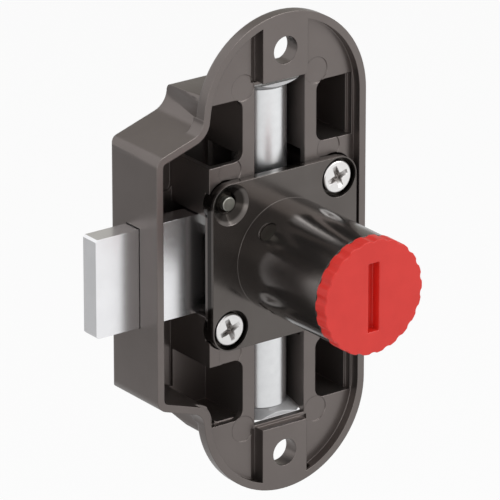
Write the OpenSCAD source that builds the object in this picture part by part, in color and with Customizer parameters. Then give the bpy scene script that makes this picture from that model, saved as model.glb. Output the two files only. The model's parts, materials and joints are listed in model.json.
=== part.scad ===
// Furniture rod lock for a cabinet door, seen from its mounting side.
// Origin: the barrel's axis in the mounting face. +X towards the hinge side,
// +Y into the cabinet, +Z up. The bolt leaves towards -X, the rods along Z.

/* [Case] */
// Width of the round-ended plate
plate_w = 30.6; // [29:0.2:36]
// Height of the plate
plate_h = 78; // [76:1:90]
// Depth of the plate's flank
plate_d = 2.6; // [2.4:0.1:3]
// Width of the rim round the plate
rim_t = 1.2; // [1:0.1:1.6]
// How far the deck lies behind the rim
deck_in = 1.5; // [1.3:0.1:1.7]
// Depth of the whole case
case_d = 12.5; // [12.4:0.1:16]
// Thickness of the case's walls
wall_t = 1.2; // [1:0.1:1.25]
// Width of the rear body
body_w = 28.2; // [27.6:0.2:29]
// How far the plate reaches beyond the rear body at each end
plate_end = 11.3; // [10.8:0.1:11.5]
// How far the rear body's ends lean in over their depth
body_draft = 0.7; // [0.3:0.1:0.8]
// How far its flank beside the bolt box leans in over its depth
flank_draft = 0.9; // [0.6:0.1:1]
// Backset: from the barrel's axis to the bolt face of the case
backset = 24; // [23.6:0.2:30]
// Height of the bolt box at its bolt face
box_h = 40.4; // [38:0.2:42]
// Slope of the bolt box's ends
box_slope = 18; // [14:1:20]
// Radius of the bolt box's outer corners
box_r = 2; // [1.6:0.1:2.4]
// Radius where the bolt box meets the plate
web_r = 2.5; // [2:0.1:3]
// Radius where the bolt box meets the rear body
flank_r = 3.3; // [2.8:0.1:3.6]
// Radius of the rear edges
rear_r = 1.2; // [0.6:0.1:1.4]

/* [Deck] */
// Distance from the fixing holes to the plate's ends
fix_edge = 6; // [5:0.1:6.4]
// Diameter of the fixing holes
fix_d = 4.4; // [4:0.1:5]
// Width of the fixing pads
pad_w = 8.4; // [8:0.1:8.8]
// Width of the grooves beside the fixing pads
groove_w = 1.1; // [0.6:0.1:1.4]
// Width of the channel for the rod hub
channel_w = 9.5; // [9.2:0.1:9.8]
// Width of the webs beside the channel
web_w = 2.2; // [1.8:0.1:2.6]
// Height at which the windows begin
window_z0 = 16.2; // [16:0.2:18]
// Distance from the windows to the rear body's ends
window_end = 1.5; // [1.3:0.1:1.9]
// Radius of the windows' corners
window_r = 1.6; // [1:0.1:2.2]
// Distance from the barrel's axis to the bolt chamber
deck_x = 13.2; // [12.9:0.1:13.3]
// Diameter of the round ejector marks
mark_d = 4.2; // [3.6:0.1:4.6]
// Distance from the bolt's middle to the recesses in the bolt chamber's floor
floor_mark_z = 10; // [9.6:0.1:10.4]

/* [Cylinder housing] */
// Side of the square flange
flange_w = 27.2; // [26.8:0.1:27.4]
// Radius of the flange's corners
flange_r = 3.5; // [3:0.1:4]
// Distance between the screw holes
screw_pitch = 20.4; // [20.2:0.1:20.6]
// Diameter of the screw holes' counterbores
cbore_d = 6.4; // [5.8:0.1:6.4]
// Outside diameter of the barrel
barrel_d = 18; // [17.4:0.1:18.4]
// Length of the barrel
barrel_l = 19.8; // [16:0.1:26]
// Thickness of the barrel's wall
barrel_t = 2; // [1.8:0.1:2.2]
// Diameter of the radial pins
barrel_pin_d = 3.2; // [2.8:0.1:3.4]

/* [Screws and pins] */
// Thread diameter of the flange screws
screw_d = 2.5; // [2:0.1:2.6]
// Diameter of the screw heads
head_d = 5.2; // [4.8:0.1:5.6]
// Height of the screw heads
head_t = 1.1; // [1:0.1:1.2]
// Length of the cross recess's arms, from tip to tip
recess_l = 3.7; // [3.2:0.1:3.9]
// Diameter of the locating pins
pin_d = 2.3; // [1.8:0.1:2.4]

/* [Bolt] */
// Height of the bolt
bolt_h = 16; // [15.4:0.1:16.2]
// Thickness of the bolt
bolt_t = 3.3; // [2.6:0.1:3.4]
// Depth of the bolt's front face
bolt_y = 4.65; // [4.6:0.05:4.8]
// How far the locked bolt stands out of the case
bolt_out = 8; // [7.9:0.1:10]

/* [Gears] */
// Module of the pinion and the rack
gear_m = 1; // [0.96:0.01:1]
// Play between the pinion and the rack
gear_play = 0.16; // [0.12:0.02:0.3]
// Pitch radius of the bevel gears
bevel_r = 2.5; // [2.4:0.05:2.55]

/* [Rod hub] */
// Depth of the rods' axis
rod_y = 6.8; // [6.75:0.05:7]
// Diameter of the rods' sockets
socket_d = 6.1; // [5.2:0.1:6.3]
// Outside diameter of the hub's tubes
tube_d = 8.5; // [8:0.1:8.6]
// Length of the tubes' solid inner ends
hub_end_l = 5.2; // [4.5:0.1:9]
// Diameter of the hub's journals in the bushes
journal_d = 7.7; // [7.5:0.1:7.9]
// Length of the bearing bushes
bush_l = 1.15; // [1:0.05:1.2]
// Diameter of the hub's shaft
shaft_d = 2.8; // [2.4:0.1:2.8]

/* [Plug] */
// Diameter over the cap's ribs
cap_d = 18.4; // [18.4:0.1:18.8]
// Thickness of the cap
cap_t = 2.5; // [2:0.1:4]
// Number of scallops in the cap's rim
cap_ribs = 22; // [16:1:28]
// Length of the coin slot
slot_l = 11; // [8:0.5:13]
// Width of the coin slot
slot_w = 2; // [1.2:0.1:2.4]

/* [Fits] */
// Radial play of turning fits
turn_play = 0.05; // [0.03:0.01:0.08]
// Play of sliding and drop-in parts
slide_play = 0.15; // [0.1:0.01:0.2]

/* [Hidden] */
$fn = 96;
eps = 0.01;
through = 40;

// Colours as the photo shows them
cast_grey = [0.36, 0.34, 0.33];
dark_grey = [0.24, 0.23, 0.22];
nickel = [0.80, 0.80, 0.81];
steel = [0.62, 0.62, 0.62];
cap_red = [0.86, 0.26, 0.23];

// Case
body_h = plate_h - 2 * plate_end;
fix_pitch = plate_h - 2 * fix_edge;
pad_z = body_h / 2 + 0.7;
window_z1 = body_h / 2 - window_end;
end_r = plate_w / 2;
end_z = plate_h / 2 - end_r;
floor_y = case_d - wall_t;
body_r = 1.3;
flank_x = flank_draft - body_w / 2;
flank_in = flank_x + wall_t - 0.1;
body_in_z = body_h / 2 - body_draft - wall_t + 0.2;
post_r = 2.5;
web_x = channel_w / 2 + web_w;
window_mid = (window_z0 + window_z1) / 2;
window_edge = 0.4;
bay_wall = 0.8;
in_r = 1.4;
floor_mark_d = 0.5;
floor_mark_r = 1;
pocket_z = window_z0 - 0.9;
web_z = window_z0 + 0.8;
rib_z = 12;
rib_d = 0.8;
side_wall_t = 0.9;
bush_room = 0.1;
groove_d = 0.6;
mark_depth = 0.14;
mark_x = 6.9;
mark_z = pad_z - 0.5;
mark_x2 = 9.3;
mark_z2 = 14.9;
groove_l = 9;
corner_r = (flange_w - screw_pitch) / 2;
root = 0.3;
guide_w = 2;
guide_h = 3.6;

// Housing
flange_t = deck_in;
seat_y = plate_d;
barrel_bore = barrel_d - 2 * barrel_t;
spigot_r = barrel_d / 2 - 1.1;
cone_d = cbore_d + 0.2;
driver_r = 4;
barrel_floor = -2;
cbore_l = 1.3;
cap_gap = 0.05;
barrel_pin_y = -4;
recess_w = 1.1;
recess_d = 0.8;

// Pinion, rack and bevel gears
pinion_teeth = 10;
pinion_rp = gear_m * pinion_teeth / 2;
pinion_ra = pinion_rp + gear_m;
pinion_rf = pinion_rp - 1.15 * gear_m;
pressure = 20;
pinion_y = plate_d + 0.1;
pinion_t = 1.15;
rack_y = plate_d + slide_play;
rack_root = pinion_rp + 1.25 * gear_m;
rack_back = 1.65;
rack_top = rack_root + rack_back;
rack_tip = pinion_rp - 0.8 * gear_m;
rack_teeth = 5;
bevel_teeth = 12;
bevel_small = 0.64;
bevel_add = 0.28;
bevel_ded = 0.36;
hex_r = 2.2;
neck_r = 1.6;
journal_r = 1.1;
clip_t = 0.3;

// Driver and plug
washer_t = 0.4;
disc_y = barrel_floor - washer_t - 1.8;
slot_in_w = 2;
slot_in_l = 10;
slot_in_y = barrel_floor - 1;
core_end = barrel_floor - 3;
tang_t = 1.7;
tang_h = 9.2;
catch_y = -12;
catch_r = 1.05;
catch_z = barrel_bore / 2 - slide_play - catch_r;
catch_in = 0.1;

// Bolt
bolt_end = -backset - bolt_out;
head_end = -11;
tongue_end = -9.6;
tongue_t = 1.4;
tongue_z = rack_root - 0.4;
rack_left = -12.4;
rack_right = pinion_rp * PI / pinion_teeth + 1.6 * gear_m;
rivet_r = 0.45;
spring_t = 0.4;
spring_w = 5;
spring_end = 1.4;
spring_foot = 3.5;
spring_gap = 0.1;
rivet_xs = [-11.75, -10.3];
rivet_z = rack_root + rack_back / 2 + 0.02;

// Rod hub
tube_in = rack_top + 0.7;
tube_out = body_h / 2 + 0.1;
socket_l = tube_out - tube_in - hub_end_l;
bush_z = tube_out - 0.45;
bush_in = bush_z - bush_l;
bush_tip_r = tube_d / 2 + 0.05;
bush_slope = 0.6;
bush_r = channel_w / 2 - turn_play;
hub_pin_z = (tube_in + tube_out - socket_l) / 2;
key_w = 1.2;
hub_pin_r = 0.75;
hub_pin_inset = 0.35;
hub_boss_r = 2;
hub_boss_l = 2.4;

// A flat shape, given as x and z, carried along Y
module slab(y0, y1) {
    translate([0, y0, 0]) rotate([90, 0, 0]) mirror([0, 0, 1]) linear_extrude(height = y1 - y0) children();
}

// A flat shape, given as y and z, carried along X
module bar_x(x0, x1) {
    translate([x0, 0, 0]) rotate([90, 0, 90]) linear_extrude(height = x1 - x0) children();
}

// A flat shape, given as x and y, carried along Z
module bar_z(z0, z1) {
    translate([0, 0, z0]) linear_extrude(height = z1 - z0) children();
}

// A round rod along Y
module rod_y_at(x, z, r, y0, y1) {
    translate([x, y0, z]) rotate([-90, 0, 0]) cylinder(r = r, h = y1 - y0);
}

// A round rod along Z on the hub's axis
module hub_z(r, z0, z1) {
    translate([0, rod_y, z0]) cylinder(r = r, h = z1 - z0);
}

module block(x0, x1, y0, y1, z0, z1) {
    translate([x0, y0, z0]) cube([x1 - x0, y1 - y0, z1 - z0]);
}

// A rectangle with true round corners
module round_rect(w, h, r) {
    square([w - 2 * r, h], center = true);
    square([w, h - 2 * r], center = true);
    for (sx = [-1, 1], sz = [-1, 1]) translate([sx * (w / 2 - r), sz * (h / 2 - r)]) circle(r = r);
}

// Points of an arc
function arc(c, r, a0, a1, n = 6) = [
    for (i = [0:n]) let (a = a0 + (a1 - a0) * i / n) [c[0] + r * cos(a), c[1] + r * sin(a)]
];

// The plate's outline, drawn in by inset
module plate_outline(inset = 0) {
    r = end_r - inset;
    square([2 * r, 2 * end_z], center = true);
    for (s = [-1, 1]) translate([0, s * end_z]) circle(r = r);
}

// Height of the bolt box's sloping end at x, drawn in by inset
function slope_z(x, inset) = box_h / 2 - inset / cos(box_slope) + (x + backset) * tan(box_slope);

// The bolt box's outline, drawn in by inset, as far as x = right
module box_outline(inset, right) {
    cx = -backset + box_r;
    cz = slope_z(cx, 0) - box_r / cos(box_slope);
    upper = concat(arc([cx, cz], box_r - inset, 180, 90 + box_slope), [[right, slope_z(right, inset)]]);
    polygon(concat(upper, [for (i = [len(upper) - 1:-1:0]) [upper[i][0], -upper[i][1]]]));
}

// The hollow curve of radius hollow between the bolt box's end and an upright flank at x = flank
module box_fillet(flank, hollow, inset) {
    r = hollow + inset;
    cx = flank - hollow;
    cz = slope_z(cx, 0) + hollow / cos(box_slope);
    foot = [cx + r * sin(box_slope), cz - r * cos(box_slope)];
    corner_z = slope_z(flank + inset, inset);
    for (s = [0, 1]) mirror([0, s]) difference() {
        polygon([
            foot, foot - [0, 0.4], [flank + inset + 0.4, corner_z - 0.4],
            [flank + inset + 0.4, cz], [flank + inset, cz]
        ]);
        translate([cx, cz]) circle(r = r);
    }
}

// The plate as a solid, its rear edge rounded
module plate_solid() {
    r = end_r;
    e = 1;
    side = arc([r - e, plate_d - e], e, 0, 90);
    for (s = [-1, 1]) translate([0, 0, s * end_z]) rotate([-90, 0, 0]) rotate_extrude()
        polygon(concat([[0, 0], [r, 0]], side, [[0, plate_d]]));
    bar_z(-end_z, end_z)
        polygon(concat([[-r, 0], [r, 0]], side, [for (i = [len(side) - 1:-1:0]) [-side[i][0], side[i][1]]]));
}

// The rear body as a solid: the overlap of its three outlines
module body_solid() {
    hz = body_h / 2;
    hr = hz - body_draft;
    e = rear_r;
    intersection() {
        slab(1, case_d) round_rect(body_w, body_h, body_r);
        bar_x(-body_w, body_w) polygon(concat(
            [[0, -hz], [plate_d, -hz]], arc([case_d - e, -hr + e], e, -90, 0),
            arc([case_d - e, hr - e], e, 0, 90), [[plate_d, hz], [0, hz]]
        ));
        bar_z(-body_h, body_h) polygon(concat(
            [[-body_w / 2, 0], [body_w / 2, 0]], arc([body_w / 2 - e, case_d - e], e, 0, 90),
            [[flank_x, case_d], [-body_w / 2, plate_d]]
        ));
    }
}

// The bolt box as a solid, its rear edge at the bolt face rounded
module box_solid() {
    e = rear_r;
    intersection() {
        union() {
            slab(0, case_d) box_outline(0, -body_w / 2 + 2);
            slab(0, plate_d) box_fillet(-end_r, web_r, 0);
            slab(plate_d - 1, case_d) box_fillet(flank_x, flank_r, 0);
        }
        bar_z(-body_h, body_h) polygon(concat(
            [[-backset, -1], [0, -1], [0, case_d]], arc([e - backset, case_d - e], e, 90, 180)
        ));
    }
}

// All that the case's walls enclose, open at the front
module case_cavity() {
    slab(-1, deck_in) plate_outline(rim_t);
    slab(-1, floor_y) box_outline(wall_t, -deck_x);
    slab(-1, deck_in + eps) box_fillet(-end_r, web_r, rim_t);
    slab(deck_in, floor_y) box_fillet(flank_x, flank_r, wall_t);
    slab(plate_d - eps, floor_y) translate([(body_w / 2 - wall_t + flank_in) / 2, 0])
        round_rect(body_w / 2 - wall_t - flank_in, 2 * body_in_z, in_r);
    // the bolt box opens into the body, and the wall is thinner behind the right windows
    slab(plate_d - eps, floor_y) box_outline(wall_t, flank_in + eps);
    for (z0 = [window_z0, -window_z1])
        block(web_x, body_w / 2 - bay_wall, plate_d - eps, floor_y, z0, z0 + window_z1 - window_z0);
}

// One window: square against the rim, round-cornered against the web
module window_shape() {
    w = body_w / 2 - window_edge - web_x;
    h = window_z1 - window_z0;
    translate([w / 2, 0]) round_rect(w, h, window_r);
    translate([w / 2, -h / 2]) square([w / 2, h]);
}

// The deck's openings: windows, hub channel, bush seats and barrel opening
module deck_openings() {
    for (sx = [0, 1], sz = [-1, 1])
        mirror([sx, 0]) translate([web_x, sz * window_mid]) window_shape();
    square([channel_w, 2 * (tube_out + bush_room)], center = true);
    circle(r = spigot_r + slide_play);
    for (sx = [-1, 1], sz = [-1, 1])
        translate([sx * screw_pitch / 2, sz * screw_pitch / 2]) circle(r = corner_r + slide_play);
}

// Shallow marks and grooves in the deck's front
module deck_marks() {
    for (sx = [-1, 1], sz = [-1, 1]) {
        rod_y_at(sx * mark_x, sz * mark_z, mark_d / 2, deck_in - 1, deck_in + mark_depth);
        rod_y_at(sx * mark_x2, sz * mark_z2, mark_d / 2, deck_in - 1, deck_in + mark_depth);
        slab(deck_in - 1, deck_in + groove_d)
            translate([sx * (pad_w + groove_w) / 2, sz * (pad_z + groove_l / 2)])
                square([groove_w, groove_l], center = true);
    }
}

module fixing_pads() {
    for (s = [-1, 1]) slab(0, plate_d) intersection() {
        translate([-pad_w / 2, s > 0 ? pad_z : -pad_z - plate_h]) square([pad_w, plate_h]);
        plate_outline(rim_t / 2);
    }
}

// Walls behind the webs, beside the hub's channel, and the low ribs that go on from them
module hub_walls() {
    for (sx = [0, 1], sz = [0, 1]) mirror([sx, 0, 0]) mirror([0, 0, sz]) {
        foot = sx > 0 ? web_z : pocket_z;
        block(channel_w / 2, web_x, plate_d - root, floor_y + root, foot, body_in_z + root);
        block(web_x - 1, web_x, floor_y - rib_d, floor_y + root, rib_z, web_z + eps);
    }
}

// Walls between the right windows' pockets and the middle of the case
module pocket_walls() {
    x0 = channel_w / 2;
    x1 = body_w / 2 - wall_t + root;
    for (sz = [0, 1]) mirror([0, 0, sz])
        block(x0, x1, plate_d - root, floor_y + root, pocket_z, window_z0);
}

// Recesses in the bolt chamber's floor, above and below the bolt
module floor_marks() {
    r = floor_mark_r;
    for (s = [0, 1]) mirror([0, 0, s]) slab(floor_y - eps, floor_y + floor_mark_d) intersection() {
        box_outline(wall_t, -deck_x);
        union() {
            translate([-backset, floor_mark_z + r]) square([backset - deck_x, box_h]);
            translate([-backset, floor_mark_z]) square([backset - deck_x - r, box_h]);
            translate([-deck_x - r, floor_mark_z + r]) circle(r = r);
        }
    }
}

// Posts behind the flange's corners and a wall beside the bolt box, cut flat where they guide the bolt
module corner_posts() {
    half = screw_pitch / 2;
    way = bolt_h / 2 + 0.2;
    difference() {
        union() {
            for (sx = [-1, 1], sz = [-1, 1]) rod_y_at(sx * half, sz * half, post_r, seat_y, floor_y + root);
            block(-deck_x, side_wall_t - deck_x, seat_y, floor_y + root, -window_z0, window_z0);
        }
        block(-deck_x - 1, half + post_r + 1, 0, floor_y, -way, way);
    }
}

// Ribs above and below the bolt at the bolt face
module bolt_guides() {
    for (s = [-1, 1]) {
        z0 = bolt_h / 2 + slide_play;
        block(
            -backset + wall_t - root, -backset + wall_t + guide_w, bolt_y, floor_y + root,
            min(s * z0, s * (z0 + guide_h)), max(s * z0, s * (z0 + guide_h))
        );
    }
}

module case_shell() {
    difference() {
        union() {
            plate_solid();
            body_solid();
            box_solid();
        }
        case_cavity();
        slab(deck_in - 1, plate_d) deck_openings();
        deck_marks();
        floor_marks();
    }
}

// The channel carried through the end wall, as the seat of a bearing bush
module bush_seat(s) {
    r = channel_w / 2;
    z0 = body_in_z - 1;
    z1 = tube_out + bush_room;
    block(-r, r, deck_in - 1, rod_y, min(s * z0, s * z1), max(s * z0, s * z1));
    hub_z(r, min(s * z0, s * z1), max(s * z0, s * z1));
}

module lock_case() {
    half = screw_pitch / 2;
    color(cast_grey) difference() {
        union() {
            case_shell();
            fixing_pads();
            hub_walls();
            pocket_walls();
            corner_posts();
            bolt_guides();
        }
        // bolt slot in the bolt face
        block(
            -backset - 1, -backset + wall_t + guide_w + 1, bolt_y - slide_play, bolt_y + bolt_t + slide_play,
            -bolt_h / 2 - slide_play, bolt_h / 2 + slide_play
        );
        for (s = [-1, 1]) {
            bush_seat(s);
            rod_y_at(0, s * fix_pitch / 2, fix_d / 2, -1, plate_d + 1);
            rod_y_at(s * half, s * half, screw_d / 2, seat_y - 1, floor_y - 1);
            rod_y_at(-s * half, s * half, pin_d / 2, seat_y - 1, floor_y - 1);
        }
    }
}

module cylinder_housing() {
    half = screw_pitch / 2;
    color(dark_grey) difference() {
        union() {
            slab(0, flange_t) round_rect(flange_w, flange_w, flange_r);
            for (sx = [-1, 1], sz = [-1, 1]) rod_y_at(sx * half, sz * half, corner_r, 0, seat_y);
            rod_y_at(0, 0, spigot_r, 0, seat_y);
            rod_y_at(0, 0, barrel_d / 2, -barrel_l, eps);
        }
        rod_y_at(0, 0, barrel_bore / 2, -barrel_l - 1, barrel_floor);
        rod_y_at(0, 0, driver_r, barrel_floor - 1, seat_y + 1);
        for (s = [-1, 1]) {
            rod_y_at(s * half, s * half, cbore_d / 2, -1, cbore_l);
            rod_y_at(s * half, s * half, screw_d / 2 + 0.1, -1, seat_y + 1);
            translate([-s * half, -eps, s * half]) rotate([-90, 0, 0])
                cylinder(r1 = cone_d / 2, r2 = pin_d / 2 + 0.5, h = cbore_l + 0.2);
            rod_y_at(-s * half, s * half, pin_d / 2, -1, seat_y + 1);
        }
        for (a = [45:90:315]) rotate([0, a, 0]) translate([0, barrel_pin_y, barrel_bore / 2 - 1])
            cylinder(r = barrel_pin_d / 2, h = 4);
    }
}

// A cross recess, as two short bars
module cross_recess(w, l, h) {
    for (a = [0, 90]) rotate([0, a, 0]) block(-l / 2, l / 2, -1, h, -w / 2, w / 2);
}

module flange_screws() {
    half = screw_pitch / 2;
    color(nickel) for (s = [-1, 1]) translate([s * half, 0, s * half]) difference() {
        union() {
            rod_y_at(0, 0, head_d / 2, cbore_l - head_t, cbore_l);
            rod_y_at(0, 0, screw_d / 2, cbore_l - eps, floor_y - 1.5);
        }
        rotate([0, 20, 0]) cross_recess(recess_w, recess_l, cbore_l - head_t + recess_d);
    }
}

module locating_pins() {
    half = screw_pitch / 2;
    color(steel) for (s = [-1, 1]) rod_y_at(-s * half, s * half, pin_d / 2, 0.5, floor_y - 1.5);
}

module barrel_pins() {
    color(steel) for (a = [45:90:315]) rotate([0, a, 0])
        translate([0, barrel_pin_y, barrel_bore / 2 + 0.05])
            cylinder(r = barrel_pin_d / 2, h = (barrel_d - barrel_bore) / 2 - 0.45);
}

module dead_bolt() {
    color(nickel) difference() {
        union() {
            block(bolt_end, head_end, bolt_y, bolt_y + bolt_t, -bolt_h / 2, bolt_h / 2);
            block(head_end - eps, tongue_end, bolt_y, bolt_y + tongue_t, tongue_z, bolt_h / 2);
        }
        for (x = rivet_xs) rod_y_at(x, rivet_z, rivet_r, bolt_y - 1, bolt_y + tongue_t + eps);
        // edges of the bolt's end eased
        for (s = [-1, 1]) translate([bolt_end, bolt_y + bolt_t / 2, s * bolt_h / 2])
            rotate([0, 45, 0]) cube([0.5, bolt_t + 2, 0.5], center = true);
    }
}

module bolt_rack() {
    half_pitch = pinion_rp * PI / pinion_teeth;
    tooth = half_pitch / 2 - gear_play / 2;
    lean = tan(pressure);
    tip_w = tooth - (pinion_rp - rack_tip) * lean;
    root_w = tooth + (rack_root - pinion_rp) * lean;
    color(steel) difference() {
        slab(rack_y, bolt_y) {
            translate([rack_left, rack_root]) square([rack_right - rack_left, rack_top - rack_root]);
            for (i = [0:rack_teeth - 1]) translate([half_pitch - 2 * half_pitch * i, 0]) polygon([
                [-root_w, rack_root + eps], [-tip_w, rack_tip], [tip_w, rack_tip], [root_w, rack_root + eps]
            ]);
        }
        for (x = rivet_xs) rod_y_at(x, rivet_z, rivet_r, rack_y - 1, bolt_y + 1);
    }
}

module bolt_rivets() {
    color(steel) for (x = rivet_xs) rod_y_at(x, rivet_z, rivet_r, rack_y, bolt_y + tongue_t);
}

// A leaf spring: a foot on the case's floor and an arch that bears on the bolt's back
module bolt_friction_spring() {
    t = spring_t;
    x0 = -backset + wall_t + spring_end;
    x1 = -deck_x - spring_foot / 2;
    rise = floor_y - bolt_y - bolt_t - spring_gap;
    span = x1 - x0;
    n = 16;
    function arch(i) = [x0 + span * i / n, floor_y - (rise - t) * sin(180 * i / n)];
    color(steel) bar_z(-spring_w / 2, spring_w / 2) polygon(concat(
        [for (i = [0:n]) arch(i)],
        [[x1 + spring_foot, floor_y], [x1 + spring_foot, floor_y - t], [x1 + t, floor_y - t]],
        [for (i = [n - 1:-1:1]) arch(i) - [0, t]], [[x0 - t / 2, floor_y - t]]
    ));
}

module spring_rivet() {
    color(steel) rod_y_at(spring_foot / 4 - deck_x, 0, 0.9, floor_y - spring_t - 0.6, floor_y - spring_t);
}

// Involute of the pinion: angle from a tooth's middle to its flank at radius r
function inv(a) = tan(a) * 180 / PI - a;
function flank(r, rb, half) = half + inv(pressure) - inv(acos(min(1, rb / max(r, rb))));

module drive_pinion() {
    rb = pinion_rp * cos(pressure);
    half = 90 / pinion_teeth - gear_play / 2 / pinion_rp * 180 / PI;
    steps = [for (k = [0, 0.2, 0.5, 0.8]) rb + k * gear_m];
    radii = concat([pinion_rf], steps, [pinion_ra - 0.1 * gear_m]);
    function point(r, a) = [r * cos(a), r * sin(a)];
    teeth = [for (i = [0:pinion_teeth - 1]) let (mid = 90 + 360 / pinion_teeth * i) concat(
        [for (r = radii) point(r, mid - flank(r, rb, half))],
        [for (j = [len(radii) - 1:-1:0]) point(radii[j], mid + flank(radii[j], rb, half))]
    )];
    color(steel) difference() {
        slab(pinion_y, pinion_y + pinion_t) polygon([for (t = teeth) for (p = t) p]);
        slab(pinion_y - 1, pinion_y + pinion_t + 1) circle(r = hex_r, $fn = 6);
    }
}

// A bevel gear whose cone has its point at the origin and opens along +Z
module bevel_cone(phase) {
    step = 360 / bevel_teeth;
    function ring(i) = let (m = phase + i * step) [
        [bevel_r - bevel_ded, m - step * 0.30], [bevel_r + bevel_add, m - step * 0.10],
        [bevel_r + bevel_add, m + step * 0.10], [bevel_r - bevel_ded, m + step * 0.30]
    ];
    pts = [for (i = [0:bevel_teeth - 1]) for (p = ring(i)) [p[0] * cos(p[1]), p[0] * sin(p[1])]];
    translate([0, 0, bevel_r]) mirror([0, 0, 1])
        linear_extrude(height = bevel_r * (1 - bevel_small), scale = bevel_small) polygon(pts);
}

module driver_bevel() {
    color(steel) difference() {
        translate([0, rod_y, 0]) rotate([90, 0, 0]) bevel_cone(90);
        rod_y_at(0, 0, journal_r, 0, rod_y);
    }
}

module driver_spindle() {
    y_bevel = rod_y - bevel_r;
    color(steel) difference() {
        union() {
            rod_y_at(0, 0, barrel_bore / 2 - slide_play, disc_y, barrel_floor - washer_t);
            rod_y_at(0, 0, driver_r - turn_play, barrel_floor - washer_t - eps, pinion_y);
            slab(pinion_y - eps, pinion_y + pinion_t) circle(r = hex_r - 0.02, $fn = 6);
            rod_y_at(0, 0, neck_r, pinion_y + pinion_t - eps, y_bevel);
            rod_y_at(0, 0, journal_r, y_bevel - eps, rod_y - bevel_r * bevel_small - 0.05);
        }
        block(-slot_in_w / 2, slot_in_w / 2, disc_y - 1, slot_in_y, -slot_in_l / 2, slot_in_l / 2);
    }
}

module friction_washer() {
    color(steel) difference() {
        rod_y_at(0, 0, barrel_bore / 2 - 0.3, barrel_floor - washer_t, barrel_floor);
        rod_y_at(0, 0, driver_r + 0.2, barrel_floor - 1, barrel_floor + 1);
    }
}

module pinion_clip() {
    y0 = pinion_y + pinion_t;
    color(steel) difference() {
        rod_y_at(0, 0, hex_r, y0, y0 + clip_t);
        rod_y_at(0, 0, neck_r + eps, y0 - 1, y0 + 1);
        block(-0.9, 0.9, y0 - 1, y0 + 1, -hex_r - 1, 0);
    }
}

module rotor_shaft() {
    color(steel) difference() {
        hub_z(shaft_d / 2, -(tube_out - socket_l), tube_out - socket_l);
        for (s = [-1, 1]) hub_pin_hole(s);
    }
}

module hub_pin_hole(s) {
    translate([0, rod_y, s * hub_pin_z]) rotate([-90, 0, 0])
        cylinder(r = hub_pin_r, h = through, center = true);
}

module rotor_bevel() {
    color(steel) difference() {
        union() {
            translate([0, rod_y, 0]) rotate([0, 0, -90]) bevel_cone(180 / bevel_teeth);
            hub_z(hub_boss_r, bevel_r - eps, bevel_r + hub_boss_l);
        }
        hub_z(shaft_d / 2, 0, through);
    }
}

// A tube of the hub: a solid inner end on the shaft, then the rod's socket with its key groove
// and a journal in the bush
module rotor_tube(s) {
    mirror([0, 0, s < 0 ? 1 : 0]) difference() {
        union() {
            hub_z(tube_d / 2, tube_in, bush_in - bush_room);
            hub_z(journal_d / 2, bush_in - bush_room - eps, tube_out);
        }
        hub_z(shaft_d / 2, 0, through);
        hub_z(socket_d / 2, tube_out - socket_l, through);
        translate([0, rod_y + socket_d / 2, tube_out - socket_l / 2])
            cube([key_w, 0.8, socket_l], center = true);
        hub_pin_hole(1);
    }
}

module rotor_tube_upper() {
    color(nickel) rotor_tube(1);
}

module rotor_tube_lower() {
    color(nickel) rotor_tube(-1);
}

module rotor_pins() {
    color(steel) for (s = [-1, 1]) translate([0, rod_y, s * hub_pin_z]) rotate([-90, 0, 0])
        cylinder(r = hub_pin_r, h = tube_d - 2 * hub_pin_inset, center = true);
}

// A bush, round behind the hub's axis and square in front of it, where it fills the channel.
// Its inner side slopes outwards from the tube like a funnel's rim.
module bearing_bush(s) {
    mirror([0, 0, s < 0 ? 1 : 0]) difference() {
        intersection() {
            union() {
                hub_z(bush_r, bush_in - 1, bush_z + 1);
                block(-bush_r, bush_r, deck_in + 0.1, rod_y, bush_in - 1, bush_z + 1);
            }
            translate([0, rod_y, bush_in])
                cylinder(r1 = bush_tip_r, r2 = bush_tip_r + bush_l / bush_slope, h = bush_l);
        }
        hub_z(journal_d / 2 + turn_play, bush_in - 2, bush_z + 2);
    }
}

module bearing_bush_upper() {
    color(nickel) bearing_bush(1);
}

module bearing_bush_lower() {
    color(nickel) bearing_bush(-1);
}

module plug_cap() {
    r = cap_d / 2;
    y1 = -barrel_l - cap_gap;
    color(cap_red) difference() {
        rod_y_at(0, 0, r, y1 - cap_t, y1);
        for (i = [0:cap_ribs - 1]) rotate([0, 360 / cap_ribs * i, 0])
            rod_y_at(0, r + 0.95, 1.2, y1 - cap_t - 1, y1 + 1);
        block(-slot_w / 2, slot_w / 2, y1 - cap_t - 1, y1 - cap_t + 1.6, -slot_l / 2, slot_l / 2);
    }
}

module plug_core() {
    r = barrel_bore / 2 - slide_play;
    color(cap_red) difference() {
        union() {
            rod_y_at(0, 0, r, -barrel_l - cap_gap, core_end);
            block(-tang_t / 2, tang_t / 2, core_end - eps, slot_in_y - 0.1, -tang_h / 2, tang_h / 2);
        }
        translate([0, catch_y, 0]) cylinder(r = catch_r + turn_play, h = through);
    }
}

module core_catch_ball() {
    color(steel) translate([0, catch_y, catch_z]) sphere(r = catch_r);
}

module core_catch_spring() {
    color(steel) translate([0, catch_y, catch_in]) difference() {
        cylinder(r = catch_r - turn_play, h = catch_z - catch_r - catch_in);
        translate([0, 0, -1]) cylinder(r = 0.6, h = through);
    }
}

lock_case();
cylinder_housing();
flange_screws();
locating_pins();
barrel_pins();
dead_bolt();
bolt_rack();
bolt_rivets();
bolt_friction_spring();
spring_rivet();
driver_spindle();
friction_washer();
drive_pinion();
pinion_clip();
driver_bevel();
rotor_shaft();
rotor_bevel();
rotor_tube_upper();
rotor_tube_lower();
rotor_pins();
bearing_bush_upper();
bearing_bush_lower();
plug_cap();
plug_core();
core_catch_ball();
core_catch_spring();
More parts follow.
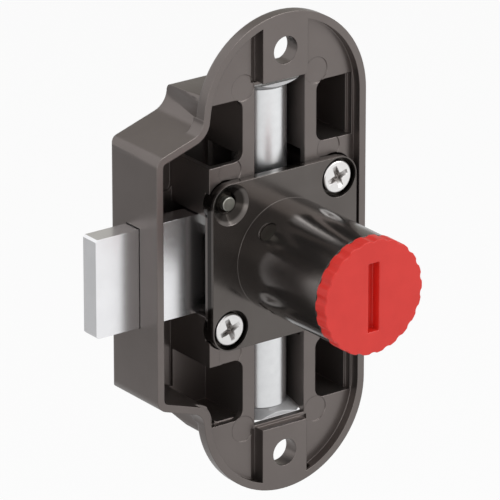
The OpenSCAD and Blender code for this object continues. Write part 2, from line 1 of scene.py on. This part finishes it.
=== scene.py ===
"""Looks of a furniture rod lock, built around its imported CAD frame.

Every piece is in metres, in the CAD's own frame: the origin is the barrel's axis in the mounting
face, +X points away from the bolt, +Y into the cabinet and +Z up along the rods.
"""

import json
import math

import bmesh
import bpy
import numpy as np
from bpy.props import FloatProperty, IntProperty, PointerProperty, StringProperty
from mathutils import Euler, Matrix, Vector


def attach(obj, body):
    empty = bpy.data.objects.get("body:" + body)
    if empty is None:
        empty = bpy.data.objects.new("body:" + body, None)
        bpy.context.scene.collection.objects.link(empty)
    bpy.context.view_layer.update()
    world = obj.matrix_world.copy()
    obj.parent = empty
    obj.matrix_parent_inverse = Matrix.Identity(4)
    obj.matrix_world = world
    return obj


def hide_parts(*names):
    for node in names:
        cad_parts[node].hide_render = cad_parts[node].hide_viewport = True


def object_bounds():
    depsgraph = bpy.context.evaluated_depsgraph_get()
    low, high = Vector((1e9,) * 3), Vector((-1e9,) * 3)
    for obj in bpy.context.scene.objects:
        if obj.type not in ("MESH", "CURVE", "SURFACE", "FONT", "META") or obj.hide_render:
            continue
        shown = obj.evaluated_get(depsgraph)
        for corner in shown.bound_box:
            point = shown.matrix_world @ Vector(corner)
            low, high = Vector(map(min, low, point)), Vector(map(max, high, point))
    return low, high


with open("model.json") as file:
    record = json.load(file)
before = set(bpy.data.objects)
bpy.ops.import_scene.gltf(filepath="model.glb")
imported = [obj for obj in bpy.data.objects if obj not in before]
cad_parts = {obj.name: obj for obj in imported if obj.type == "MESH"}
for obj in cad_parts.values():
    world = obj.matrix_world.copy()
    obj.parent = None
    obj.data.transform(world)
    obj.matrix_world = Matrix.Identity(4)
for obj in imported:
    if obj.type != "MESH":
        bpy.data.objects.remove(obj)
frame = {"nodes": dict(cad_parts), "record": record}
CAD_LOW, CAD_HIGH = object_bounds()

bl_info = {
    "name": "Furniture rod lock",
    "version": (1, 0, 0),
    "blender": (4, 5, 0),
    "location": "View3D > Sidebar > Rod lock",
    "description": "Casting, bolt, rod hub, barrel and plug of a cabinet rod lock",
    "category": "Object",
}

MM = 0.001

# Edges over the sharp angle are rounded, and faces that turn by less than the flat angle are joined.
SHARP_ANGLE = math.radians(32)
FLAT_ANGLE = math.radians(0.6)
MODEL_GAP = 0.0005 * MM
CAD_GAP = 0.001 * MM

# The casting: its marks' walls, its front face and its pads, and the share of the rounding they take.
THIN_WALL = 0.2 * MM
UPRIGHT = 0.1
FRONT_GAP = 0.01 * MM
PAD_REACH = (4.5 * MM, 37.4 * MM)
CASE_SHARE = 0.45

# Finishes: how much wider the colour's drift is than the grain, and the noise that each range spans.
DRIFT = 12
TINT_SPAN = (0.35, 0.65)
POLISH_SPAN = (0.3, 0.7)
EDGE_SAMPLES = 8

# The screw's surface, in millimetres except the taper and the power. The lip is the rounded edge.
SCREW_GRID = (80, 320)
ARMS = 4
DOME = 0.1
LIP_DROP = 0.25
LIP_WIDTH = 0.3
ARM_START = -0.01
ARM_POWER = 0.7
ARM_TAPER = 0.2
FLANK = 0.1
TIP_CHAMFER = 0.3

# The stage, in metres: each lamp's place and width, the floor's half side and the card's corners.
WHITE = (1.0, 1.0, 1.0, 1.0)
CARD_WHITE = (1.0, 0.97, 0.90, 1.0)
SENSOR_MM = 36.0
CLIP = (0.05, 20.0)
LAMPS = {
    "key": ((0.30, -0.45, 0.35), 0.35),
    "fill": ((-0.50, -0.25, 0.10), 0.40),
    "top": ((-0.05, 0.05, 0.55), 0.35),
}
FLOOR_REACH = 3.0
FLOOR_FALL = 0.25
FLOOR_SEEN = 0.9
CARD_CORNERS = [[[0.1, 1.6, 0.0], [0.1, 1.6, 1.6]], [[1.7, 0.5, 0.0], [1.7, 0.5, 1.6]]]


def linear(code):
    """An sRGB hex colour as linear red, green, blue and alpha."""
    values = [int(code[i : i + 2], 16) / 255 for i in (1, 3, 5)]
    curve = [v / 12.92 if v <= 0.04045 else ((v + 0.055) / 1.055) ** 2.4 for v in values]
    return (*curve, 1.0)


def per_mm(size):
    """The scale at which a texture's feature is size millimetres wide in Object coordinates."""
    return 1 / (size * MM)


def add_node(tree, kind, values=None, links=None, **settings):
    """Adds a node, sets its settings and input values, and links its inputs to other sockets."""
    node = tree.nodes.new(kind)
    for name, value in settings.items():
        setattr(node, name, value)
    for name, value in (values or {}).items():
        node.inputs[name].default_value = value
    for name, source in (links or {}).items():
        tree.links.new(source, node.inputs[name])
    return node


def blank_material(name):
    """A new material and its node tree, with no nodes in it."""
    material = bpy.data.materials.new(name)
    material.use_nodes = True
    material.node_tree.nodes.clear()
    return material, material.node_tree


# Materials


def finish(name, dark, light, metallic, rough, grain, relief, edge=0.0, stretch=(1, 1, 1), painted_shade=None):
    """A surface whose colour and roughness drift between two values over grain millimetres.

    dark and light are the colour's two ends, rough the roughness's two ends, and relief the height
    of the surface's skin in millimetres. edge rounds the shading of sharp edges by that many
    millimetres, and stretch lengthens the grain along an axis, as brushing or turning does.
    The last argument, painted shade given as a colour and two depths along Y in millimetres, darkens a
    recess between those depths and everything behind them.
    """
    material, tree = blank_material(name)
    place = add_node(tree, "ShaderNodeTexCoord")
    turned = add_node(
        tree, "ShaderNodeMapping", values={"Scale": stretch}, links={"Vector": place.outputs["Object"]}
    )
    broad = add_node(
        tree,
        "ShaderNodeTexNoise",
        values={"Scale": per_mm(grain * DRIFT), "Detail": 3.0, "Roughness": 0.5},
        links={"Vector": place.outputs["Object"]},
    )
    fine = add_node(
        tree,
        "ShaderNodeTexNoise",
        values={"Scale": per_mm(grain), "Detail": 4.0, "Roughness": 0.6},
        links={"Vector": turned.outputs["Vector"]},
    )
    tint = add_node(tree, "ShaderNodeValToRGB", links={"Fac": broad.outputs["Fac"]})
    tint.color_ramp.elements[0].position = TINT_SPAN[0]
    tint.color_ramp.elements[0].color = linear(dark)
    tint.color_ramp.elements[1].position = TINT_SPAN[1]
    tint.color_ramp.elements[1].color = linear(light)
    colour = tint.outputs["Color"]
    # Painted shade: surfaces deeper along Y than the first depth take on the shade colour, fully past the
    # second.
    if painted_shade:
        shade, start, end = painted_shade
        part = add_node(tree, "ShaderNodeSeparateXYZ", links={"Vector": place.outputs["Object"]})
        depth = add_node(
            tree,
            "ShaderNodeMapRange",
            values={"From Min": start * MM, "From Max": end * MM},
            links={"Value": part.outputs["Y"]},
        )
        painted_shade_mix = add_node(
            tree,
            "ShaderNodeMixRGB",
            values={"Color2": linear(shade)},
            links={"Fac": depth.outputs["Result"], "Color1": colour},
        )
        colour = painted_shade_mix.outputs["Color"]
    polish = add_node(
        tree,
        "ShaderNodeMapRange",
        values={
            "From Min": POLISH_SPAN[0],
            "From Max": POLISH_SPAN[1],
            "To Min": rough[0],
            "To Max": rough[1],
        },
        links={"Value": fine.outputs["Fac"]},
    )
    skin = add_node(
        tree,
        "ShaderNodeBump",
        values={"Strength": 1.0, "Distance": relief * MM},
        links={"Height": fine.outputs["Fac"]},
    )
    if edge:
        eased = add_node(tree, "ShaderNodeBevel", values={"Radius": edge * MM}, samples=EDGE_SAMPLES)
        tree.links.new(eased.outputs["Normal"], skin.inputs["Normal"])
    shader = add_node(
        tree,
        "ShaderNodeBsdfPrincipled",
        values={"Metallic": metallic},
        links={
            "Base Color": colour,
            "Roughness": polish.outputs["Result"],
            "Normal": skin.outputs["Normal"],
        },
    )
    add_node(tree, "ShaderNodeOutputMaterial", links={"Surface": shader.outputs["BSDF"]})
    return material


def cast_black_nickel():
    """Zinc die casting, tumbled and plated black nickel: a satin skin with a brown-grey sheen."""
    return finish(
        "black_nickel_die_casting",
        dark="#726b68",
        light="#756e6b",
        metallic=0.82,
        rough=(0.28, 0.33),
        grain=0.5,
        relief=0.0015,
        edge=0.2,
    )


def glossy_black_nickel():
    """The same plating on the machined barrel and flange, nearer to a mirror, with painted shade darkening
    its sides.
    """
    return finish(
        "black_nickel_machined",
        dark="#5f5a57",
        light="#645f5c",
        metallic=0.85,
        rough=(0.15, 0.19),
        grain=0.6,
        relief=0.001,
        edge=0.15,
        # Painted shade: the flange's and barrel's sides behind 0.35 mm darken to a near-black brown by 0.6
        # mm.
        painted_shade=("#2e2a27", 0.35, 0.6),
    )


def satin_nickel_bolt():
    """Drawn steel bar, nickel plated: drawing lines run along the bolt."""
    return finish(
        "nickel_drawn_steel",
        dark="#f1f1f3",
        light="#f5f5f7",
        metallic=1.0,
        rough=(0.24, 0.27),
        grain=0.3,
        relief=0.0001,
        stretch=(0.3, 1, 1),
    )


def turned_nickel():
    """Turned steel tube, nickel plated: fine turning rings lie round the tube."""
    return finish(
        "nickel_turned_steel",
        dark="#e2e3e4",
        light="#e7e8e9",
        metallic=1.0,
        rough=(0.28, 0.32),
        grain=0.12,
        relief=0.001,
        stretch=(0.04, 0.04, 1),
    )


def zinc_screw_steel():
    """Steel screw, bright zinc plated: silver white and slightly rough, with painted shade in the recess."""
    return finish(
        "bright_zinc_plated_steel",
        dark="#e6e4e3",
        light="#ebeae9",
        metallic=0.95,
        rough=(0.28, 0.34),
        grain=0.25,
        relief=0.0015,
        # Painted shade: the cross recess is coloured grey from 0.4 mm behind the front, fully by 0.75 mm.
        painted_shade=("#77726f", 0.4, 0.75),
    )


def dull_pin_steel():
    """Plain steel pin, cut to length: a grey, rough end."""
    return finish(
        "plain_cut_steel",
        dark="#96968f",
        light="#a6a69e",
        metallic=0.9,
        rough=(0.32, 0.42),
        grain=0.2,
        relief=0.006,
        edge=0.08,
    )


def plated_pin_steel():
    """Steel pin plated with the barrel: a dark end with a soft gloss."""
    return finish(
        "black_nickel_pin",
        dark="#69645f",
        light="#726d68",
        metallic=0.9,
        rough=(0.28, 0.34),
        grain=0.2,
        relief=0.003,
        edge=0.1,
    )


def oiled_gear_steel():
    """Machined steel gear under a film of oil."""
    return finish(
        "oiled_machined_steel",
        dark="#8b8a88",
        light="#9b9a97",
        metallic=1.0,
        rough=(0.28, 0.36),
        grain=0.2,
        relief=0.002,
        edge=0.08,
    )


def spring_temper_steel():
    """Hardened spring strip with a bluish grey temper."""
    return finish(
        "tempered_spring_steel",
        dark="#6c6d72",
        light="#7c7d82",
        metallic=1.0,
        rough=(0.28, 0.34),
        grain=0.2,
        relief=0.001,
        edge=0.05,
    )


def red_polystyrene():
    """Injection-moulded opaque plastic: even red with a soft gloss."""
    return finish(
        "red_moulded_plastic",
        dark="#dc2c23",
        light="#e23128",
        metallic=0.0,
        rough=(0.34, 0.40),
        grain=0.35,
        relief=0.0015,
        edge=0.2,
    )


def pressed_nickel():
    """Pressed steel bush, nickel plated: matt beside the turned tubes."""
    return finish(
        "nickel_pressed_steel",
        dark="#c4c4c5",
        light="#cbcbcc",
        metallic=0.8,
        rough=(0.46, 0.54),
        grain=0.3,
        relief=0.001,
    )


# Mesh tools


def mesh_from_grid(points, close_v=True):
    """Vertices and quads of a grid of points, shaped (u, v, 3); v runs round the shape when close_v."""
    count_u, count_v = points.shape[:2]
    columns = np.arange(count_v if close_v else count_v - 1)
    u, v = np.meshgrid(np.arange(count_u - 1), columns, indexing="ij")
    next_u, next_v = u + 1, (v + 1) % count_v
    corners = [u * count_v + v, u * count_v + next_v, next_u * count_v + next_v, next_u * count_v + v]
    return points.reshape(-1, 3), np.stack(corners, axis=-1).reshape(-1, 4)


def make_piece(name, parts, material, smooth=True):
    """An object from a list of (points, faces), its doubles merged and its faces turned outwards."""
    firsts = np.cumsum([0] + [len(points) for points, _ in parts[:-1]])
    points = np.concatenate([points for points, _ in parts])
    faces = np.concatenate([faces + first for (_, faces), first in zip(parts, firsts)])
    mesh = bpy.data.meshes.new(name)
    mesh.from_pydata(points.tolist(), [], faces.tolist())
    bm = bmesh.new()
    bm.from_mesh(mesh)
    bpy.data.meshes.remove(mesh)
    bmesh.ops.remove_doubles(bm, verts=bm.verts, dist=MODEL_GAP)
    bmesh.ops.recalc_face_normals(bm, faces=bm.faces)
    return object_from_bmesh(name, bm, material, smooth)


def object_from_bmesh(name, bm, material, smooth=True):
    """Turns a bmesh into an object at the origin, with edges over SHARP_ANGLE kept sharp."""
    for face in bm.faces:
        face.smooth = smooth
    for edge in bm.edges:
        edge.smooth = edge.calc_face_angle(0.0) < SHARP_ANGLE
    mesh = bpy.data.meshes.new(name)
    bm.to_mesh(mesh)
    bm.free()
    mesh.materials.append(material)
    piece = bpy.data.objects.new(name, mesh)
    bpy.context.scene.collection.objects.link(piece)
    return piece


def dressed_copy(node, name, material, round_mm, segments, share=None):
    """A merged copy of a CAD node with its edges rounded, which stands for the node.

    share gives an edge's part of round_mm, between 0 and 1; without it each sharp edge has all.
    """
    bm = bmesh.new()
    bm.from_mesh(frame["nodes"][node].data)
    bmesh.ops.remove_doubles(bm, verts=bm.verts, dist=CAD_GAP)
    bmesh.ops.dissolve_limit(bm, angle_limit=FLAT_ANGLE, verts=bm.verts, edges=bm.edges)
    weights = bm.edges.layers.float.new("bevel_weight_edge")
    for edge in bm.edges:
        if edge.calc_face_angle(0.0) >= SHARP_ANGLE:
            edge[weights] = share(edge) if share else 1.0
    piece = object_from_bmesh(name, bm, material)
    bevel = piece.modifiers.new("edges", "BEVEL")
    bevel.width = round_mm * MM
    bevel.segments = segments
    bevel.limit_method = "WEIGHT"
    bevel.harden_normals = True
    bevel.use_clamp_overlap = True
    seat(piece, node)


def thin_wall(face):
    """Whether a face is the wall of a mark, upright and under THIN_WALL high."""
    depths = [corner.co.y for corner in face.verts]
    return abs(face.normal.y) < UPRIGHT and max(depths) - min(depths) < THIN_WALL


def case_share(edge):
    """The casting's edges: marks stay crisp, the rim's outer edge is the softest."""
    if any(thin_wall(face) for face in edge.link_faces):
        return 0.0
    middle = (edge.verts[0].co + edge.verts[1].co) / 2
    at_front = max(abs(corner.co.y) for corner in edge.verts) < FRONT_GAP
    on_pad = abs(middle.x) < PAD_REACH[0] and abs(middle.z) < PAD_REACH[1]
    flank = min(edge.link_faces, key=lambda face: abs(face.normal.y)).normal
    outward = flank.x * middle.x + flank.z * middle.z > 0
    return 1.0 if at_front and outward and not on_pad else CASE_SHARE


def seat(piece, *nodes):
    """Lets a piece ride on its node's body and stand for the nodes."""
    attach(piece, BODY_OF[nodes[0]])
    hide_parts(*nodes)


def repaint(node, material):
    """Gives a carried-over CAD node its finish."""
    data = frame["nodes"][node].data
    data.materials.clear()
    data.materials.append(material)


BODY_OF = {node: body for body, nodes in frame["record"]["behaviour"]["bodies"].items() for node in nodes}


# Settings


class RodLockEdges(bpy.types.PropertyGroup):
    """How far the edges of each group of pieces are rounded, in millimetres."""

    case_mm: FloatProperty(name="Case", description="Radius of the rim's outer edge", default=0.7, min=0)
    housing_mm: FloatProperty(name="Housing", description="Radius on flange and barrel", default=0.2, min=0)
    bolt_mm: FloatProperty(name="Bolt", description="Radius of the bolt's edges", default=0.2, min=0)
    cap_mm: FloatProperty(name="Cap", description="Radius of the cap's edges", default=0.3, min=0)
    tube_mm: FloatProperty(name="Tubes", description="Radius on tubes and pins", default=0.15, min=0)
    bush_mm: FloatProperty(name="Bushes", description="Radius on the bushes", default=0.05, min=0)
    segments: IntProperty(name="Segments", description="Steps of each rounding", default=3, min=1, max=6)


class RodLockScrews(bpy.types.PropertyGroup):
    """The cross-head screws, in millimetres."""

    pitch_mm: FloatProperty(name="Pitch", description="Distance between the screws", default=20.4, min=1)
    head_mm: FloatProperty(name="Head", description="Radius of the head", default=2.6, min=0.5)
    front_mm: FloatProperty(name="Front", description="Depth of the head's front", default=0.2)
    seat_mm: FloatProperty(name="Seat", description="Depth of the head's seat", default=1.3)
    shank_mm: FloatProperty(name="Shank", description="Radius of the thread", default=1.25, min=0.2)
    end_mm: FloatProperty(name="End", description="Depth of the screw's end", default=9.8)
    arm_mm: FloatProperty(name="Arm", description="Reach of the recess's arms", default=1.85, min=0.2)
    arm_width_mm: FloatProperty(name="Arm width", description="Width of the arms", default=1.05, min=0.1)
    recess_mm: FloatProperty(name="Recess", description="Depth of the recess", default=0.8, min=0)
    turn: FloatProperty(name="Turn", description="Turn of the recess, degrees", default=20)


class RodLockStudio(bpy.types.PropertyGroup):
    """Camera, lamps and floor."""

    azimuth: FloatProperty(name="Azimuth", description="Camera's turn round Z, degrees", default=-36.212)
    elevation: FloatProperty(name="Elevation", description="Camera's height, degrees", default=21.332)
    lens: FloatProperty(name="Lens", description="Focal length, mm", default=423.8, min=10)
    stand_x: FloatProperty(name="X", description="Camera's place", default=-0.49950, unit="LENGTH")
    stand_y: FloatProperty(name="Y", description="Camera's place", default=-0.67305, unit="LENGTH")
    stand_z: FloatProperty(name="Z", description="Camera's place", default=0.32793, unit="LENGTH")
    key_watts: FloatProperty(name="Key", description="Key lamp's power, W", default=1.4, min=0)
    fill_watts: FloatProperty(name="Fill", description="Fill lamp's power, W", default=0.6, min=0)
    top_watts: FloatProperty(name="Top", description="Top lamp's power, W", default=0.9, min=0)
    sky: FloatProperty(name="Sky", description="Strength of the surrounding light", default=0.4, min=0)
    dim_side: FloatProperty(name="Dim side", description="Glow behind the lock, on the left", default=0.5)
    bright_side: FloatProperty(name="Bright side", description="Glow before it, on the right", default=1.0)
    card_glow: FloatProperty(name="Card", description="Glow of the card behind the lock", default=0.45)
    floor_drop: FloatProperty(name="Floor", description="Floor below the plate", default=0.03, unit="LENGTH")
    backdrop: StringProperty(name="Backdrop", description="Floor's colour", default="#f4f4f4")


# Pieces


def cross_head_screw(sizes, side):
    """One screw as a surface over a radius r and an angle a round its axis, which runs along Y.

    Front of the head: y = front + DOME (r / R)^2 + LIP_DROP (1 - sqrt(1 - t^2)) + recess, where t
    rises from 0 to 1 over the outer LIP_WIDTH and R is the head's radius. The recess is the greatest
    of the arms: depth * (1 - p / arm)^ARM_POWER * smooth(edge), with p = r cos(a - a_k) along the
    arm, q = r sin(a - a_k) across it, and edge rising from 0 to 1 over FLANK inside the arm's side
    |q| = (width / 2) (1 - ARM_TAPER p / arm). Behind it the head's side, its seat and the shank
    follow a turned profile.
    """
    radius = sizes.head_mm
    count_r, count_a = SCREW_GRID
    r = np.linspace(0, radius, count_r)[:, None]
    a = np.linspace(0, 2 * np.pi, count_a, endpoint=False)[None, :]
    t = np.clip((r - radius + LIP_WIDTH) / LIP_WIDTH, 0, 1)
    front = sizes.front_mm + DOME * (r / radius) ** 2 + LIP_DROP * (1 - np.sqrt(1 - t**2)) + 0 * a
    depth = np.zeros_like(front)
    for k in range(ARMS):
        angle = a - math.radians(sizes.turn + 360 / ARMS * k)
        p, q = r * np.cos(angle), r * np.sin(angle)
        along = np.clip(1 - p / sizes.arm_mm, 0, 1) ** ARM_POWER * (p > ARM_START)
        half = sizes.arm_width_mm / 2 * (1 - ARM_TAPER * np.clip(p / sizes.arm_mm, 0, 1))
        edge = np.clip((half - np.abs(q)) / FLANK, 0, 1)
        depth = np.maximum(depth, sizes.recess_mm * along * edge**2 * (3 - 2 * edge))
    front = np.stack([r * np.cos(a), front + depth, r * np.sin(a)], axis=-1)
    profile = np.array(
        [
            (radius, sizes.seat_mm),
            (sizes.shank_mm, sizes.seat_mm),
            (sizes.shank_mm, sizes.end_mm - TIP_CHAMFER),
            (sizes.shank_mm - TIP_CHAMFER, sizes.end_mm),
            (0, sizes.end_mm),
        ]
    )[:, None, :]
    back = np.stack(
        [profile[..., 0] * np.cos(a), profile[..., 1] + 0 * a, profile[..., 0] * np.sin(a)], axis=-1
    )
    half_pitch = sizes.pitch_mm / 2
    points = np.concatenate([front, back]) + side * np.array([half_pitch, 0, half_pitch])
    return mesh_from_grid(points * MM)


class ROD_LOCK_OT_case(bpy.types.Operator):
    """Builds the cast case"""

    bl_idname = "rod_lock.case"
    bl_label = "Cast case"

    def execute(self, context):
        edges = context.scene.rod_lock_edges
        dressed_copy(
            "lock_case", "case_casting", cast_black_nickel(), edges.case_mm, edges.segments, share=case_share
        )
        return {"FINISHED"}


class ROD_LOCK_OT_housing(bpy.types.Operator):
    """Builds the flange with its barrel, and the barrel's radial pins"""

    bl_idname = "rod_lock.housing"
    bl_label = "Cylinder housing"

    def execute(self, context):
        edges = context.scene.rod_lock_edges
        plating = glossy_black_nickel()
        dressed_copy("cylinder_housing", "barrel_and_flange", plating, edges.housing_mm, edges.segments)
        dressed_copy("barrel_pins", "radial_pins", plated_pin_steel(), edges.tube_mm, edges.segments)
        return {"FINISHED"}


class ROD_LOCK_OT_fasteners(bpy.types.Operator):
    """Builds the flange's screws and its locating pins"""

    bl_idname = "rod_lock.fasteners"
    bl_label = "Screws and pins"

    def execute(self, context):
        sizes = context.scene.rod_lock_screws
        screws = [cross_head_screw(sizes, side) for side in (-1, 1)]
        seat(make_piece("cross_head_screws", screws, zinc_screw_steel()), "flange_screws")
        edges = context.scene.rod_lock_edges
        dressed_copy("locating_pins", "locating_pin_ends", dull_pin_steel(), edges.bolt_mm, edges.segments)
        return {"FINISHED"}


class ROD_LOCK_OT_bolt(bpy.types.Operator):
    """Builds the dead bolt, its rack and rivets, and the leaf spring behind it"""

    bl_idname = "rod_lock.bolt"
    bl_label = "Dead bolt"

    def execute(self, context):
        edges = context.scene.rod_lock_edges
        dressed_copy("dead_bolt", "nickel_bolt", satin_nickel_bolt(), edges.bolt_mm, edges.segments)
        gear_steel = oiled_gear_steel()
        repaint("bolt_rack", gear_steel)
        repaint("bolt_rivets", gear_steel)
        spring_steel = spring_temper_steel()
        repaint("bolt_friction_spring", spring_steel)
        repaint("spring_rivet", spring_steel)
        return {"FINISHED"}


class ROD_LOCK_OT_hub(bpy.types.Operator):
    """Builds the rod hub's tubes, shaft and pins, and the bushes they turn in"""

    bl_idname = "rod_lock.hub"
    bl_label = "Rod hub"

    def execute(self, context):
        edges = context.scene.rod_lock_edges
        tube_steel = turned_nickel()
        bush_steel = pressed_nickel()
        for end in ("upper", "lower"):
            dressed_copy(f"rotor_tube_{end}", f"rod_socket_{end}", tube_steel, edges.tube_mm, edges.segments)
            dressed_copy(f"bearing_bush_{end}", f"bush_{end}", bush_steel, edges.bush_mm, edges.segments)
        gear_steel = oiled_gear_steel()
        for node in ("rotor_shaft", "rotor_bevel", "rotor_pins"):
            repaint(node, gear_steel)
        return {"FINISHED"}


class ROD_LOCK_OT_driver(bpy.types.Operator):
    """Finishes the driver's spindle, pinion and bevel gear, which the flange covers"""

    bl_idname = "rod_lock.driver"
    bl_label = "Driver"

    def execute(self, context):
        gear_steel = oiled_gear_steel()
        for node in ("driver_spindle", "drive_pinion", "driver_bevel"):
            repaint(node, gear_steel)
        spring_steel = spring_temper_steel()
        for node in ("friction_washer", "pinion_clip"):
            repaint(node, spring_steel)
        return {"FINISHED"}


class ROD_LOCK_OT_plug(bpy.types.Operator):
    """Builds the plug's scalloped cap and finishes its core and catch"""

    bl_idname = "rod_lock.plug"
    bl_label = "Plug"

    def execute(self, context):
        edges = context.scene.rod_lock_edges
        plastic = red_polystyrene()
        dressed_copy("plug_cap", "slotted_cap", plastic, edges.cap_mm, edges.segments)
        dressed_copy("plug_core", "plug_body", plastic, edges.cap_mm, edges.segments)
        repaint("core_catch_ball", oiled_gear_steel())
        repaint("core_catch_spring", spring_temper_steel())
        return {"FINISHED"}


# Stage


def aim_at(place, target):
    """Euler angles that turn a lamp's -Z from place towards target."""
    return (Vector(target) - Vector(place)).to_track_quat("-Z", "Y").to_euler()


class ROD_LOCK_OT_studio(bpy.types.Operator):
    """Sets the pale floor, the soft lamps, the white surroundings and the camera"""

    bl_idname = "rod_lock.studio"
    bl_label = "Studio"

    def execute(self, context):
        studio = context.scene.rod_lock_studio
        self.camera(context, studio)
        self.surroundings(context, studio)
        self.floor(context, studio)
        self.card(context, studio)
        middle = (CAD_LOW + CAD_HIGH) / 2
        for name, (place, width) in LAMPS.items():
            lamp = bpy.data.lights.new(name, "AREA")
            lamp.energy = getattr(studio, f"{name}_watts")
            lamp.size = width
            holder = bpy.data.objects.new(name, lamp)
            holder.location = place
            holder.rotation_euler = aim_at(place, middle)
            context.scene.collection.objects.link(holder)
        return {"FINISHED"}

    def camera(self, context, studio):
        """The photograph's viewpoint: a long lens, turned and raised by the studio's angles."""
        data = bpy.data.cameras.new("camera")
        data.lens = studio.lens
        data.sensor_width = SENSOR_MM
        data.clip_start, data.clip_end = CLIP
        camera = bpy.data.objects.new("camera", data)
        camera.location = (studio.stand_x, studio.stand_y, studio.stand_z)
        tilt = math.radians(90 - studio.elevation)
        camera.rotation_euler = Euler((tilt, 0, math.radians(studio.azimuth)))
        context.scene.collection.objects.link(camera)
        context.scene.camera = camera
        context.scene.view_settings.view_transform = "Standard"

    def surroundings(self, context, studio):
        """White for the eye and for reflections, and studio.sky for the light on matt surfaces."""
        world = bpy.data.worlds.new("surroundings")
        context.scene.world = world
        world.use_nodes = True
        tree = world.node_tree
        tree.nodes.clear()
        ray = add_node(tree, "ShaderNodeLightPath")
        seen = add_node(
            tree,
            "ShaderNodeMath",
            operation="MAXIMUM",
            links={0: ray.outputs["Is Camera Ray"], 1: ray.outputs["Is Glossy Ray"]},
        )
        through = add_node(
            tree,
            "ShaderNodeMath",
            operation="MAXIMUM",
            links={0: seen.outputs[0], 1: ray.outputs["Is Transmission Ray"]},
        )
        strength = add_node(
            tree,
            "ShaderNodeMapRange",
            values={"To Min": studio.sky, "To Max": 1.0},
            links={"Value": through.outputs[0]},
        )
        glow = add_node(
            tree,
            "ShaderNodeBackground",
            values={"Color": WHITE},
            links={"Strength": strength.outputs["Result"]},
        )
        add_node(tree, "ShaderNodeOutputWorld", links={"Surface": glow.outputs["Background"]})

    def floor(self, context, studio):
        """A pale floor that reads as white and keeps the lock's shadow.

        In reflections it is a painted glow, brighter at the front on the right and dimmer at the back on the
        left.
        """
        material, tree = blank_material("pale_floor")
        place = add_node(tree, "ShaderNodeTexCoord")
        part = add_node(tree, "ShaderNodeSeparateXYZ", links={"Vector": place.outputs["Object"]})
        across = add_node(
            tree,
            "ShaderNodeMath",
            operation="SUBTRACT",
            links={0: part.outputs["X"], 1: part.outputs["Y"]},
        )
        fall = add_node(
            tree,
            "ShaderNodeMapRange",
            values={
                "From Min": -FLOOR_FALL,
                "From Max": FLOOR_FALL,
                "To Min": studio.dim_side,
                "To Max": studio.bright_side,
            },
            links={"Value": across.outputs[0]},
        )
        paint = add_node(tree, "ShaderNodeBsdfDiffuse", values={"Color": linear(studio.backdrop)})
        white = add_node(tree, "ShaderNodeEmission", values={"Color": WHITE, "Strength": 1.0})
        # Painted reflection: reflections see this graded glow instead of the lit floor.
        glow = add_node(
            tree,
            "ShaderNodeEmission",
            values={"Color": WHITE},
            links={"Strength": fall.outputs["Result"]},
        )
        ray = add_node(tree, "ShaderNodeLightPath")
        share = add_node(
            tree,
            "ShaderNodeMath",
            values={1: FLOOR_SEEN},
            operation="MULTIPLY",
            links={0: ray.outputs["Is Camera Ray"]},
        )
        seen = add_node(
            tree,
            "ShaderNodeMixShader",
            links={0: share.outputs[0], 1: paint.outputs["BSDF"], 2: white.outputs["Emission"]},
        )
        mirrored = add_node(
            tree,
            "ShaderNodeMixShader",
            links={0: ray.outputs["Is Glossy Ray"], 1: seen.outputs["Shader"], 2: glow.outputs["Emission"]},
        )
        add_node(tree, "ShaderNodeOutputMaterial", links={"Surface": mirrored.outputs["Shader"]})
        low = CAD_LOW.z - studio.floor_drop
        ends = (-FLOOR_REACH, FLOOR_REACH)
        corners = np.array([[[x, y, low] for y in ends] for x in ends])
        floor = make_piece("floor", [mesh_from_grid(corners, close_v=False)], material, smooth=False)

    def card(self, context, studio):
        """A glowing card behind the lock on the right, which only reflections see: a painted reflection,
        dimmer and warmer than the white surroundings, on the faces that look up and back.
        """
        material, tree = blank_material("grey_card")
        # The card glows with painted light, seen only in reflections.
        glow = add_node(
            tree,
            "ShaderNodeEmission",
            values={"Color": CARD_WHITE, "Strength": studio.card_glow},
        )
        add_node(tree, "ShaderNodeOutputMaterial", links={"Surface": glow.outputs["Emission"]})
        plane = mesh_from_grid(np.array(CARD_CORNERS), close_v=False)
        card = make_piece("card", [plane], material, smooth=False)
        card.visible_camera = False
        card.visible_diffuse = False
        card.visible_shadow = False


class ROD_LOCK_PT_panel(bpy.types.Panel):
    """Lists the lock's settings and the operators that build it"""

    bl_idname = "ROD_LOCK_PT_panel"
    bl_label = "Rod lock"
    bl_space_type = "VIEW_3D"
    bl_region_type = "UI"
    bl_category = "Rod lock"

    def draw(self, context):
        layout = self.layout
        scene = context.scene
        for settings in (scene.rod_lock_edges, scene.rod_lock_screws, scene.rod_lock_studio):
            box = layout.box()
            for name in settings.bl_rna.properties.keys():
                if name not in {"rna_type", "name"}:
                    box.prop(settings, name)
        for operator in OPERATORS:
            layout.operator(operator.bl_idname)


OPERATORS = (
    ROD_LOCK_OT_case,
    ROD_LOCK_OT_housing,
    ROD_LOCK_OT_fasteners,
    ROD_LOCK_OT_bolt,
    ROD_LOCK_OT_hub,
    ROD_LOCK_OT_driver,
    ROD_LOCK_OT_plug,
    ROD_LOCK_OT_studio,
)
CLASSES = (RodLockEdges, RodLockScrews, RodLockStudio, *OPERATORS, ROD_LOCK_PT_panel)


def register():
    for cls in CLASSES:
        bpy.utils.register_class(cls)
    bpy.types.Scene.rod_lock_edges = PointerProperty(type=RodLockEdges)
    bpy.types.Scene.rod_lock_screws = PointerProperty(type=RodLockScrews)
    bpy.types.Scene.rod_lock_studio = PointerProperty(type=RodLockStudio)


def unregister():
    del bpy.types.Scene.rod_lock_studio
    del bpy.types.Scene.rod_lock_screws
    del bpy.types.Scene.rod_lock_edges
    for cls in reversed(CLASSES):
        bpy.utils.unregister_class(cls)


def main():
    """Builds every piece and the stage."""
    register()
    for operator in OPERATORS:
        group, call = operator.bl_idname.split(".")
        getattr(getattr(bpy.ops, group), call)()


if __name__ == "__main__":
    main()
